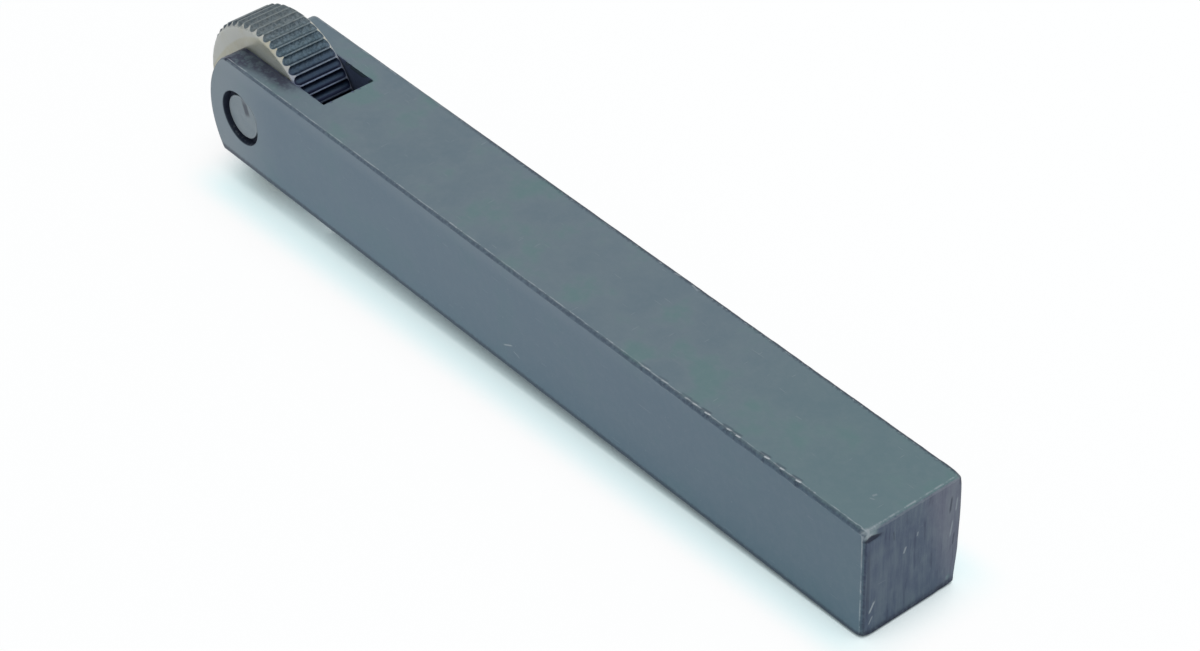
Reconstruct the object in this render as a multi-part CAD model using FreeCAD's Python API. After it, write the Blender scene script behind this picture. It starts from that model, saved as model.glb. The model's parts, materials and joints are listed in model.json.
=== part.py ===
import FreeCAD, Part
import math
import os

# Knurling tool for a lathe: a plain steel shank whose forked, round-nosed head carries
# one straight-toothed knurl wheel on a pin that is pressed in and staked at both ends.
# Millimetres. +X runs from the tail to the wheel, +Y to one cheek of the fork, +Z up.
# The origin is the centre of the shank's seat: on the bottom face, at mid width, half way
# between the tail and the end of the fork's slot.

# Shank
SHANK_WIDTH = 11.8
SHANK_HEIGHT = 12.7
SEAT_LENGTH = 82.3
# radius of the long outer edges: small at the head, rubbed wider towards the tail
EDGE_BREAK_HEAD = 0.22
EDGE_BREAK_TAIL = 0.62
TAIL_EDGE_BREAK = 0.35

# Knurl wheel
WHEEL_DIAMETER = 19.0
WHEEL_WIDTH = 6.0
WHEEL_CHAMFER = 0.5
TOOTH_COUNT = 50
TOOTH_LAND = 0.15
GROOVE_DEPTH = 0.4
# degrees from straight ahead to the middle of the first tooth, turning up
FIRST_TOOTH_ANGLE = 2.0

# Fork and slot
WHEEL_SIDE_CLEARANCE = 0.15
SLOT_END_GAP = 2.4
SLOT_CUTTER_RADIUS = 40.0

# Nose of the fork: one arc from the top face to the bottom face, rounded over at the top
NOSE_TOP_REACH = 2.0
NOSE_BOTTOM_REACH = 3.85
NOSE_BULGE = 2.45
NOSE_TOP_ROUND = 2.0
NOSE_EDGE_CHAMFER = 0.15

# Pin, its seat in the cheeks and the stakes that hold it
PIN_DIAMETER = 5.0
PIN_HEIGHT = 6.0
PIN_END_INSET = 0.35
PIN_END_BREAK = 0.15
PIN_RUNNING_CLEARANCE = 0.03
STAKE_GROOVE_WIDTH = 0.6
STAKE_GROOVE_DEPTH = 0.95
STAKE_ANGLE = 146.0
STAKE_LENGTH = 1.5
STAKE_INSET = 0.3

# Worked out from the sizes above
tail_x = -SEAT_LENGTH / 2
slot_end_x = SEAT_LENGTH / 2
half_width = SHANK_WIDTH / 2
wheel_radius = WHEEL_DIAMETER / 2
pin_radius = PIN_DIAMETER / 2
pin_x = slot_end_x + SLOT_END_GAP + wheel_radius
pin_axis_point = FreeCAD.Vector(pin_x, 0, PIN_HEIGHT)
slot_width = WHEEL_WIDTH + 2 * WHEEL_SIDE_CLEARANCE
stake_groove_radius = pin_radius + STAKE_GROOVE_WIDTH
along_y = FreeCAD.Vector(0, 1, 0)
up = FreeCAD.Vector(0, 0, 1)
TOUCH = 1e-4
# the round at the nose's top stands this far proud of tangent, to meet both faces clearly
ROUND_RISE = 0.02


def point(x, z, y=0.0):
    """A point of a side-view outline, in the plane at the given y."""
    return FreeCAD.Vector(x, y, z)


def across(outline, y_from, y_to):
    """The solid between two planes of constant y that has this side-view outline."""
    face = Part.Face(Part.Wire(outline))
    face.translate(FreeCAD.Vector(0, y_from, 0))
    return face.extrude(along_y * (y_to - y_from))


def round_bar(radius, y_from, y_to):
    """A solid cylinder on the pin's axis."""
    base = FreeCAD.Vector(pin_x, y_from, PIN_HEIGHT)
    return Part.makeCylinder(radius, y_to - y_from, base, along_y)


def turned(half_profile):
    """A solid turned about the pin's axis from (radius, y) points."""
    points = [point(pin_x, PIN_HEIGHT + radius, y) for radius, y in half_profile]
    face = Part.Face(Part.makePolygon(points + points[:1]))
    return face.revolve(pin_axis_point, along_y, 360)


def nose_points():
    """The nose arc's top corner, foremost middle and bottom corner."""
    top = point(pin_x + NOSE_TOP_REACH, SHANK_HEIGHT)
    bottom = point(pin_x + NOSE_BOTTOM_REACH, 0)
    chord = bottom - top
    outward = FreeCAD.Vector(-chord.z, 0, chord.x).normalize()
    front = (top + bottom) * 0.5 + outward * NOSE_BULGE
    return top, front, bottom


def nose_outline():
    """The side view of the shank and its head: three straight sides and the nose arc."""
    top, front, bottom = nose_points()
    tail_top = point(tail_x, SHANK_HEIGHT)
    tail_bottom = point(tail_x, 0)
    return [
        Part.LineSegment(tail_top, top).toShape(),
        Part.Arc(top, front, bottom).toShape(),
        Part.LineSegment(bottom, tail_bottom).toShape(),
        Part.LineSegment(tail_bottom, tail_top).toShape(),
    ]


def slot_outline():
    """The side view of the slot: open at the nose, its end left hollow by a disc cutter."""
    past_nose = pin_x + NOSE_BOTTOM_REACH + NOSE_BULGE + wheel_radius
    below = point(slot_end_x, 0)
    above = point(slot_end_x, SHANK_HEIGHT)
    sagitta = SLOT_CUTTER_RADIUS - math.sqrt(SLOT_CUTTER_RADIUS**2 - (SHANK_HEIGHT / 2) ** 2)
    deepest = point(slot_end_x - sagitta, SHANK_HEIGHT / 2)
    open_below = point(past_nose, 0)
    open_above = point(past_nose, SHANK_HEIGHT)
    return [
        Part.Arc(below, deepest, above).toShape(),
        Part.LineSegment(above, open_above).toShape(),
        Part.LineSegment(open_above, open_below).toShape(),
        Part.LineSegment(open_below, below).toShape(),
    ]


def is_long_edge(edge, z):
    """True for an outer edge of the bar that runs along X at this height."""
    ends = [vertex.Point for vertex in edge.Vertexes]
    if len(ends) != 2:
        return False
    outer = all(abs(abs(end.y) - half_width) < TOUCH for end in ends)
    level = all(abs(end.z - z) < TOUCH for end in ends)
    return outer and level and abs(ends[0].x - ends[1].x) > SEAT_LENGTH / 2


def break_long_edges(bar):
    """Round the four long outer edges, wider at the tail than at the head."""
    for z in (0, SHANK_HEIGHT):
        for side in (-1, 1):
            for edge in bar.Edges:
                if is_long_edge(edge, z) and edge.CenterOfMass.y * side > 0:
                    starts_at_tail = edge.valueAt(edge.FirstParameter).x < 0
                    first = EDGE_BREAK_TAIL if starts_at_tail else EDGE_BREAK_HEAD
                    last = EDGE_BREAK_HEAD if starts_at_tail else EDGE_BREAK_TAIL
                    bar = bar.makeFillet(first, last, [edge])
                    break
    return bar


def break_tail_edges(bar):
    """Round the edges all round the tail's end face."""
    end_face = min(bar.Faces, key=lambda face: face.CenterOfMass.x)
    return bar.makeFillet(TAIL_EDGE_BREAK, end_face.Edges)


def nose_arc():
    """The circle of the nose's arc, with its centre and radius."""
    return Part.Arc(*nose_points()).toShape().Curve


def nose_top_round():
    """The round at the nose's top: its centre, its radius, and where it meets the nose."""
    arc = nose_arc()
    rise = SHANK_HEIGHT - NOSE_TOP_ROUND - arc.Center.z
    run = math.sqrt((arc.Radius - NOSE_TOP_ROUND) ** 2 - rise**2)
    centre = arc.Center + FreeCAD.Vector(run, 0, rise)
    ahead = (centre - arc.Center).normalize()
    return centre, NOSE_TOP_ROUND + ROUND_RISE, ahead


def nose_top_cutter():
    """All that stands over the round at the nose's top, right across the head."""
    centre, radius, ahead = nose_top_round()
    between = (up + ahead).normalize()
    on_top = centre + up * radius
    on_nose = centre + ahead * radius
    above = centre + up * radius * 2
    in_front = centre + ahead * radius * 2
    outline = [
        Part.Arc(on_top, centre + between * radius, on_nose).toShape(),
        Part.LineSegment(on_nose, in_front).toShape(),
        Part.LineSegment(in_front, above).toShape(),
        Part.LineSegment(above, on_top).toShape(),
    ]
    return across(outline, -SHANK_WIDTH, SHANK_WIDTH)


def edge_ring(centre, radius, sweep, side):
    """Part of a ring, from straight above its centre towards the nose, which takes the outer
    edge of a round face off at 45 degrees."""
    # the ring's section is a triangle that stands this far past both faces of the edge
    past = NOSE_EDGE_CHAMFER
    corners = [
        (radius - NOSE_EDGE_CHAMFER - past, half_width + past),
        (radius + past, half_width - NOSE_EDGE_CHAMFER - past),
        (radius + past, half_width + past),
    ]
    points = [point(centre.x, centre.z + reach, side * y) for reach, y in corners]
    section = Part.Face(Part.makePolygon(points + points[:1]))
    return section.revolve(centre, along_y, sweep)


def stake(side):
    """Metal punched over from the cheek into the groove until it bears on the pin."""
    floor_y = side * (half_width - STAKE_GROOVE_DEPTH - TOUCH)
    top_y = side * (half_width - STAKE_INSET)
    low_y = min(floor_y, top_y)
    high_y = max(floor_y, top_y)
    angle = math.radians(STAKE_ANGLE)
    centre_x = pin_x + stake_groove_radius * math.cos(angle)
    centre_z = PIN_HEIGHT + stake_groove_radius * math.sin(angle)
    base = FreeCAD.Vector(centre_x, low_y, centre_z)
    lobe = Part.makeCylinder(STAKE_LENGTH / 2, high_y - low_y, base, along_y)
    in_groove = round_bar(stake_groove_radius + TOUCH, low_y, high_y)
    off_pin = round_bar(pin_radius, low_y, high_y)
    return lobe.common(in_groove).cut(off_pin)


def make_holder():
    """The shank with its two integral cheeks."""
    bar = across(nose_outline(), -half_width, half_width)
    bar = break_long_edges(bar)
    bar = break_tail_edges(bar)
    bar = bar.cut(across(slot_outline(), -slot_width / 2, slot_width / 2))
    bar = bar.cut(round_bar(pin_radius, -half_width, half_width))
    bar = bar.cut(nose_top_cutter())
    arc = nose_arc()
    round_centre, round_radius, ahead = nose_top_round()
    round_turn = math.degrees(ahead.getAngle(up))
    for side in (-1, 1):
        bar = bar.cut(edge_ring(arc.Center, arc.Radius, 180, side))
        bar = bar.cut(edge_ring(round_centre, round_radius, round_turn, side))
        near_y = side * half_width
        floor_y = side * (half_width - STAKE_GROOVE_DEPTH)
        groove = round_bar(stake_groove_radius, min(near_y, floor_y), max(near_y, floor_y))
        bar = bar.cut(groove)
        bar = bar.fuse(stake(side))
    return bar.removeSplitter()


def make_axle_pin():
    """The pin: line to line in the cheeks, its ends set in and lightly broken."""
    end_y = half_width - PIN_END_INSET
    break_y = end_y - PIN_END_BREAK
    break_radius = pin_radius - PIN_END_BREAK
    return turned(
        [
            (0, -end_y),
            (break_radius, -end_y),
            (pin_radius, -break_y),
            (pin_radius, break_y),
            (break_radius, end_y),
            (0, end_y),
        ]
    )


def make_wheel_blank():
    """The wheel before its teeth: a bored disc with chamfered rims."""
    half = WHEEL_WIDTH / 2
    bore_radius = pin_radius + PIN_RUNNING_CLEARANCE
    return turned(
        [
            (bore_radius, -half),
            (wheel_radius - WHEEL_CHAMFER, -half),
            (wheel_radius, WHEEL_CHAMFER - half),
            (wheel_radius, half - WHEEL_CHAMFER),
            (wheel_radius - WHEEL_CHAMFER, half),
            (bore_radius, half),
        ]
    )


def on_wheel(radius, angle):
    """A point of the wheel's side view, by its radius and its angle from +X in radians."""
    return point(pin_x + radius * math.cos(angle), PIN_HEIGHT + radius * math.sin(angle))


def tooth_outline():
    """The wheel's toothed side view: a narrow land and a round groove, once for each tooth."""
    pitch = 2 * math.pi / TOOTH_COUNT
    first = math.radians(FIRST_TOOTH_ANGLE)
    half_land = TOOTH_LAND / wheel_radius / 2
    groove_bottom = wheel_radius - GROOVE_DEPTH
    outline = []
    for tooth in range(TOOTH_COUNT):
        middle = first + tooth * pitch
        land_start = on_wheel(wheel_radius, middle - half_land)
        land_top = on_wheel(wheel_radius, middle)
        land_end = on_wheel(wheel_radius, middle + half_land)
        root = on_wheel(groove_bottom, middle + pitch / 2)
        next_land = on_wheel(wheel_radius, middle + pitch - half_land)
        outline.append(Part.Arc(land_start, land_top, land_end).toShape())
        outline.append(Part.Arc(land_end, root, next_land).toShape())
    return outline


def make_knurl_wheel():
    """The knurl wheel: straight round grooves that run out on the chamfered rims."""
    half = WHEEL_WIDTH / 2
    return make_wheel_blank().common(across(tooth_outline(), -half, half))


def main():
    os.makedirs("parts", exist_ok=True)
    nodes = {
        "holder": make_holder(),
        "axle_pin": make_axle_pin(),
        "knurl_wheel": make_knurl_wheel(),
    }
    for name, shape in nodes.items():
        solid = shape.Solids[0]
        print(name, len(shape.Solids), "solid", solid.isValid(), round(solid.Volume, 3), "mm3")
        solid.exportStep("parts/" + name + ".step")


main()
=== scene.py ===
import json
import math

import bmesh
import bpy
import numpy as np
from mathutils import Euler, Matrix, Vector


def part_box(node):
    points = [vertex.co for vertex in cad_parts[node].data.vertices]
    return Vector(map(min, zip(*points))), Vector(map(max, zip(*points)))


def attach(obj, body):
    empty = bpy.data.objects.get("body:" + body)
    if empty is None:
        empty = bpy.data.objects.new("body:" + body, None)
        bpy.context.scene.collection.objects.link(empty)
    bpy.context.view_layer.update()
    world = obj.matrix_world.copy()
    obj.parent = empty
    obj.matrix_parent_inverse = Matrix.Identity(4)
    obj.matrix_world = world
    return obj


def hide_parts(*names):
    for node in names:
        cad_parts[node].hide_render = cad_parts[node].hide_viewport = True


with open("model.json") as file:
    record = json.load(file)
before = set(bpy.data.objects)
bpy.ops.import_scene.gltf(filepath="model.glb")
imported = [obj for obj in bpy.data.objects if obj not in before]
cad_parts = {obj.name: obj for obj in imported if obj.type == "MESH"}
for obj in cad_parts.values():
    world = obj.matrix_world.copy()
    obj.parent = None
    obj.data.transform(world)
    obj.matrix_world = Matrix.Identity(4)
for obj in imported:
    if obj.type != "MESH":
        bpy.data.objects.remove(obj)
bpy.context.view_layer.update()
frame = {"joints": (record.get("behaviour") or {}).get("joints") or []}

# Looks of a lathe knurling tool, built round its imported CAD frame: the blackened steel
# holder, the staked axle pin, the knurl wheel, and a plain white studio.
# Shapes are worked out in millimetres in the CAD frame and written to the meshes in metres.

bl_info = {
    "name": "Knurling tool",
    "version": (1, 0, 0),
    "blender": (4, 5, 0),
    "location": "View3D > Sidebar > Knurling tool",
    "description": "Builds a straight knurling tool with worn, blackened steel finishes",
    "category": "Object",
}

MM = 0.001
holder_low, holder_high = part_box("holder")
wheel_low, wheel_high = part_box("knurl_wheel")
pin_low, pin_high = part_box("axle_pin")
pin_axis = frame["joints"][0]["pos_m"]

# the same in millimetres: the holder's tail, top and half width, the pin's axis, and radii
TAIL, TOP, HALF = holder_low.x / MM, holder_high.z / MM, holder_high.y / MM
PIN_X, PIN_Z = pin_axis[0] / MM, pin_axis[2] / MM
PIN_RADIUS = (pin_high.x - pin_low.x) / 2 / MM
WHEEL_RADIUS = (wheel_high.x - wheel_low.x) / 2 / MM


# Named sizes, colours and places that a user may change

def length(name, text, default):
    """A length property in metres, with its default given in metres."""
    return bpy.props.FloatProperty(
        name=name, description=text, default=default, unit="LENGTH", precision=5, min=0.0
    )


def slant(name, text, degrees):
    """An angle property, with its default given in degrees."""
    return bpy.props.FloatProperty(
        name=name, description=text, default=math.radians(degrees), unit="ROTATION"
    )


def colour(name, text, default):
    """A linear colour property."""
    return bpy.props.FloatVectorProperty(
        name=name, description=text, default=default, subtype="COLOR", size=3, min=0.0, max=1.0
    )


class HolderSizes(bpy.types.PropertyGroup):
    """Sizes of the holder that its CAD box doesn't give."""

    slot_end: length("Slot end", "Distance of the slot's end from the origin", 41.15 * MM)
    slot_half_width: length("Slot half width", "From the mid plane to a cheek", 3.15 * MM)
    slot_hollow: length("Slot end hollow", "How far the slot's end is hollowed", 0.507 * MM)
    nose_top_reach: length("Nose top reach", "Nose corner past the pin, at the top", 2.0 * MM)
    nose_bottom_reach: length("Nose bottom reach", "Nose corner past the pin, below", 3.85 * MM)
    nose_bulge: length("Nose bulge", "Height of the nose arc over its chord", 2.45 * MM)
    nose_round: length("Nose top round", "Radius that rolls the top into the nose", 2.0 * MM)
    head_break: length("Edge break at the head", "Rounding of the long edges", 0.27 * MM)
    tail_break: length("Edge break at the tail", "Rounding of the long edges", 0.43 * MM)
    end_break: length("End edge break", "Rounding round the tail's end face", 0.35 * MM)
    nose_break: length("Nose edge break", "Rounding of the nose's curved edges", 0.18 * MM)
    groove_radius: length("Groove radius", "Outside of the groove round the pin", 3.1 * MM)
    groove_depth: length("Groove depth", "Depth of the groove round the pin", 0.95 * MM)
    stake_depth: length("Stake depth", "Depth of the staked metal at the pin", 0.4 * MM)
    stake_angle: slant("Stake angle", "Turn of the stake from the nose towards the top", 146.0)


class WheelSizes(bpy.types.PropertyGroup):
    """Sizes of the knurl wheel that its CAD box doesn't give."""

    teeth: bpy.props.IntProperty(
        name="Teeth", description="Number of teeth round the wheel", default=50, min=3
    )
    bore_radius: length("Bore radius", "Radius of the wheel's bore", 2.53 * MM)
    chamfer: length("Chamfer", "Chamfer of both rims", 0.5 * MM)
    land: length("Land", "Width of a tooth's flat top", 0.15 * MM)
    groove_depth: length("Groove depth", "Depth of a groove below the lands", 0.4 * MM)
    first_tooth: slant("First tooth", "Its turn from straight ahead towards the top", 2.0)


class Finishes(bpy.types.PropertyGroup):
    """Colours of the steel."""

    blacked: colour("Blackened steel", "Matt oxide of the holder", (0.143, 0.190, 0.222))
    blacked_cool: colour("Cool oxide", "Bluer cast of the oxide", (0.122, 0.172, 0.208))
    # a darker, bluer copy of the oxide for the side faces: painted shade
    blacked_side_shade: colour("Side oxide", "Blue cast of the side faces", (0.110, 0.167, 0.223))
    blacked_teal: colour("Teal oxide", "Greener clouds of the oxide", (0.110, 0.192, 0.200))
    blacked_end: colour("Sawn end", "Oxide over the sawn tail face", (0.070, 0.096, 0.150))
    worn_end: colour("Worn end", "Brownish wear of the tail face", (0.42, 0.38, 0.42))
    # painted shadow: the colour of the wheel's shade on the near cheek's top
    wheel_shadow: colour("Oil smudge", "Dark oil on the near cheek", (0.032, 0.033, 0.064))
    rubbed: colour("Rubbed steel", "Steel where the oxide is rubbed thin", (0.30, 0.34, 0.37))
    bare: colour("Bare steel", "Fresh metal in the knocks", (0.46, 0.50, 0.53))
    # real oil and dirt, and also the colour of painted shade along edges, feet, sides and knocks
    soot_and_shade: colour("Soot", "Oil and dirt in grooves", (0.013, 0.017, 0.042))
    teeth: colour("Teeth", "Dull steel of the toothed rim", (0.098, 0.128, 0.140))
    teeth_warm: colour("Warm teeth", "Greyer clouds on the rim", (0.130, 0.150, 0.148))
    deep: colour("Slot walls", "Oily oxide inside the slot", (0.116, 0.146, 0.236))
    land: colour("Worn lands", "Bright tops of the teeth", (0.40, 0.43, 0.43))
    ground: colour("Ground steel", "Sides of the wheel", (0.53, 0.525, 0.49))
    # painted light: lifts the wheel side where the cheek shades it
    wheel_side_light: colour("Wiped steel", "Wheel side where the cheek wipes it", (0.86, 0.84, 0.76))
    # a stain, and the colour of the cheek's painted reflection on the wheel side
    stain_and_reflection: colour("Oil stain", "Yellowed film on the wheel's sides", (0.48, 0.45, 0.34))
    floor: colour("Floor", "Studio floor", (0.93, 0.95, 0.96))


class Studio(bpy.types.PropertyGroup):
    """The camera's place, turn and lens."""

    eye: bpy.props.FloatVectorProperty(
        name="Eye",
        description="Place of the camera",
        default=(-0.188945, 0.152142, 0.205236),
        subtype="TRANSLATION",
        unit="LENGTH",
        size=3,
    )
    turn: bpy.props.FloatVectorProperty(
        name="Turn",
        description="Turn of the camera",
        default=tuple(math.radians(a) for a in (50.7989, 1.42796, -129.77086)),
        subtype="EULER",
        size=3,
    )
    lens: bpy.props.FloatProperty(
        name="Lens", description="Focal length in millimetres", default=99.0715, min=1.0
    )


# Surfaces as grids of points, worked out as whole arrays

WELD = 0.0004 * MM


class Skin:
    """Grids of points in millimetres, with wear values, that are welded into one closed mesh."""

    def __init__(self, values):
        self.names = values
        self.points = []
        self.faces = []
        self.values = []
        self.count = 0

    def add(self, points, closed=False, **values):
        """Add a rows x columns x 3 grid; closed joins its last row to its first."""
        rows, columns = points.shape[:2]
        index = np.arange(rows * columns).reshape(rows, columns) + self.count
        if closed:
            index = np.vstack([index, index[:1]])
        corners = (index[:-1, :-1], index[:-1, 1:], index[1:, 1:], index[1:, :-1])
        self.faces.append(np.stack([c.ravel() for c in corners], axis=1))
        self.points.append(points.reshape(-1, 3))
        columns_of = [
            np.broadcast_to(values.get(name, 0.0), (rows, columns)).ravel() for name in self.names
        ]
        self.values.append(np.stack(columns_of, axis=1))
        self.count += rows * columns

    def make(self, name, smooth_below=35.0):
        """The welded mesh as an object in metres, its faces outwards, hard edges marked."""
        points = np.concatenate(self.points) * MM
        faces = np.concatenate(self.faces)
        values = np.concatenate(self.values)
        mesh = bpy.data.meshes.new(name)
        mesh.vertices.add(len(points))
        mesh.vertices.foreach_set("co", points.astype(np.float32).ravel())
        mesh.loops.add(faces.size)
        mesh.loops.foreach_set("vertex_index", faces.astype(np.int32).ravel())
        mesh.polygons.add(len(faces))
        mesh.polygons.foreach_set("loop_start", np.arange(0, faces.size, 4, dtype=np.int32))
        mesh.update(calc_edges=True)
        for column, value_name in enumerate(self.names):
            layer = mesh.attributes.new(value_name, "FLOAT", "POINT")
            layer.data.foreach_set("value", values[:, column].astype(np.float32))
        welded = bmesh.new()
        welded.from_mesh(mesh)
        bmesh.ops.remove_doubles(welded, verts=welded.verts, dist=WELD)
        bmesh.ops.dissolve_degenerate(welded, edges=welded.edges, dist=WELD)
        bmesh.ops.recalc_face_normals(welded, faces=welded.faces)
        welded.to_mesh(mesh)
        welded.free()
        mesh.shade_smooth()
        mesh.set_sharp_from_angle(angle=math.radians(smooth_below))
        mesh.validate()
        made = bpy.data.objects.new(name, mesh)
        bpy.context.scene.collection.objects.link(made)
        return made


def smooth(x):
    """Smooth step of an array: 0 below 0, 1 above 1, and 3x^2 - 2x^3 between."""
    x = np.clip(x, 0.0, 1.0)
    return x * x * (3.0 - 2.0 * x)


DRAWS = 4096


def wander(x, seed, pitch, octaves=3):
    """Random line along x, about -1 to 1: random values a pitch apart, blended by the smooth
    step, plus octaves of half the pitch and half the height."""
    total = np.zeros_like(x, dtype=float)
    for octave in range(octaves):
        draws = np.random.default_rng(seed + octave).uniform(-1.0, 1.0, DRAWS)
        place = x / pitch * 2**octave + 1000.0
        cell = np.floor(place).astype(int)
        blend = smooth(place - cell)
        low, high = draws[cell % DRAWS], draws[(cell + 1) % DRAWS]
        total += (low + (high - low) * blend) / 2**octave
    return total / 2.0


def pairs(x, z):
    """Points (x, z) of a side view, as rows."""
    return np.stack(np.broadcast_arrays(x, z), axis=-1)


def carried_across(line, y):
    """A line of (x, z) points carried to each y, as a grid."""
    x, z = (np.tile(line[:, axis, None], (1, len(y))) for axis in (0, 1))
    return np.stack([x, np.tile(y, (len(line), 1)), z], axis=2)


def between(a, b, parts):
    """Blend of two arrays of points at the given parts: a + (b - a) * part, part by part."""
    parts = np.asarray(parts)[None, :, None]
    return a[:, None, :] + (b - a)[:, None, :] * parts


# The holder

# steps of the grids; stations crowd towards the tail, rows towards the top
ROWS_HIGH = 56
STATIONS = 320
CORNER_STEPS = 6
BREAK_STEPS = 6
HEAD_STEPS = 30
ROUND_STEPS = 16
NOSE_STEPS = 40
LAND_STEPS = 12
SLOT_STEPS = 16
FACE_RINGS = 15
INNER_RINGS = 9
CROWDED_ALONG = 1.5
CROWDED_UP = 1.35


def rows_up():
    """Parts of the height at which the rows lie, closer together towards the top."""
    return 1 - (1 - np.linspace(0.0, 1.0, ROWS_HIGH + 1)) ** CROWDED_UP


def spokes_at(angle):
    """Unit vectors at these angles, from the x axis towards z."""
    return pairs(np.cos(angle), np.sin(angle))


def holder_side_view(sizes):
    """The holder's side view as a loop of (x, z) points from the slot's end over the nose,
    along the bottom, up the tail and back along the top. The nose is an arc through its two
    corners and its bulge; a smaller arc inside it rolls over into the top face, its centre
    at (big radius - small radius) from the big centre. With each point comes the vector
    by which it moves inwards for each millimetre that the edge is broken back, so a point
    of a broken edge is point + vector * depth. Corners of the tail are arcs whose radius
    shrinks by a third of the depth; other corners move along their mitre."""
    slot_end = sizes.slot_end / MM
    upper = np.array([PIN_X + sizes.nose_top_reach / MM, TOP])
    lower = np.array([PIN_X + sizes.nose_bottom_reach / MM, 0.0])
    chord = lower - upper
    reach = np.hypot(*chord)
    outward = np.array([-chord[1], chord[0]]) / reach
    bulge = sizes.nose_bulge / MM
    radius = reach**2 / (8 * bulge) + bulge / 2
    centre = (upper + lower) / 2 + outward * (bulge - radius)
    up = np.array([0.0, 1.0])
    over = sizes.nose_round / MM
    rise = TOP - over - centre[1]
    round_centre = centre + [math.sqrt((radius - over) ** 2 - rise**2), rise]
    meet = math.atan2(*(round_centre - centre)[::-1])
    stop = math.atan2(*(lower - centre)[::-1])
    roll = np.linspace(np.pi / 2, meet, ROUND_STEPS + 1)[:-1]
    turn = np.linspace(meet, stop, NOSE_STEPS + 1)
    nose = np.vstack([round_centre + over * spokes_at(roll), centre + radius * spokes_at(turn)])
    nose_in = -spokes_at(np.concatenate([roll, turn]))
    nose_in[-1] = (nose_in[-1] + up) / (1 + nose_in[-1] @ up)

    head_x = np.linspace(slot_end, round_centre[0], HEAD_STEPS + 1)[:-1]
    head_top = pairs(head_x, TOP)
    under_x = np.linspace(lower[0], slot_end, HEAD_STEPS + 1)[1:]
    head_under = pairs(under_x, 0.0)

    corner = sizes.end_break / MM
    shrink = 0.33
    even = np.linspace(0.0, 1.0, STATIONS + 1)
    along = slot_end + (TAIL + corner - slot_end) * (1 - (1 - even) ** CROWDED_ALONG)
    drift = (1 - shrink) * (1 - np.clip((along - TAIL - corner) / 4.0, 0, 1)) ** 2
    quarter = np.linspace(0.0, np.pi / 2, CORNER_STEPS + 1)
    sine, cosine = np.sin(quarter), np.cos(quarter)
    arc = pairs(TAIL + corner * (1 - sine), corner * (1 - cosine))
    arc_in = pairs(1 - shrink * (1 - sine), 1 - shrink * (1 - cosine))
    rows = rows_up()
    end_line = pairs(TAIL, corner + (TOP - 2 * corner) * rows)
    end_in = pairs(1.0, (1 - shrink) * (1 - 2 * rows))

    bottom = pairs(along, 0.0)
    bottom_in = pairs(drift, 1.0)
    flip = np.array([1.0, -1.0])
    head = np.vstack([head_top, nose, head_under])
    flat_in = np.tile(up, (HEAD_STEPS, 1))
    head_in = np.vstack([-flat_in, nose_in, flat_in])
    shank = np.vstack([bottom, arc[1:], end_line[1:]])
    shank_in = np.vstack([bottom_in, arc_in[1:], end_in[1:]])
    back = np.vstack([bottom, arc[1:-1]])[::-1] * flip + [0.0, TOP]
    back_in = np.vstack([bottom_in, arc_in[1:-1]])[::-1] * flip
    # the upper arc starts at the end of the tail's line, which is already there
    shank[-1], shank_in[-1] = arc[-1] * flip + [0.0, TOP], arc_in[-1] * flip
    return head, head_in, np.vstack([shank, back]), np.vstack([shank_in, back_in])


NICKS = (
    # place along the shank, half length and depth, in millimetres
    (-11.9, 0.9, 0.06),
    (-14.4, 0.6, 0.07),
    (-17.6, 0.5, 0.08),
    (-18.6, 0.4, 0.09),
    (-20.3, 0.5, 0.15),
    (-23.2, 0.4, 0.12),
    (-24.4, 0.4, 0.13),
    (-28.2, 0.45, 0.15),
    (-30.2, 0.4, 0.12),
    (-32.3, 0.45, 0.15),
)


def nicks_at(points, side):
    """Depth of the knocks along the near top edge: a dent exp(-2.5 * (offset / half)^2) each,
    seven tenths of the knock's depth."""
    x, z = points[:, 0], points[:, 1]
    near_top = (side > 0) & (z > TOP * 0.6) & (x > TAIL + 1)
    dents = [
        0.7 * deep * np.exp(-(((x - place) / half) ** 2) * 2.5) for place, half, deep in NICKS
    ]
    return near_top * np.sum(dents, axis=0)


def edge_break(points, sizes, side):
    """Depth of the edge break at each point of the side view: from the head's to the tail's
    along the shank, the end's on the tail, the nose's on its arc, all wandering a little,
    and deeper at the knocks along the near top edge."""
    x, z = points[:, 0], points[:, 1]
    nose_corner = (pin_axis[0] + sizes.nose_top_reach) / MM
    part = np.clip((nose_corner - x) / (nose_corner - TAIL), 0, 1)
    depth = sizes.head_break / MM + (sizes.tail_break - sizes.head_break) / MM * part
    end = sizes.end_break / MM
    depth = depth + (end - depth) * smooth(1 - (x - TAIL) / end)
    sway = 0.12 + 0.25 * on_tail(points)[:, 0]
    run = x + 0.6 * z
    chips = 0.10 * smooth((10.0 - x) / 20.0) * wander(run, 47 + 5 * (side > 0), 0.45, 2)
    depth = depth * (1 + sway * wander(run, 11 + 5 * (side > 0), 1.9) + chips)
    if side < 0:
        depth = depth * (1 - 0.4 * smooth(1 - z / TOP * 2))
    depth = depth + nicks_at(points, side)
    on_nose = smooth((x - nose_corner + 1.0) / 1.5) * (z > 0.01)
    return depth + (sizes.nose_break / MM - depth) * on_nose


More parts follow.
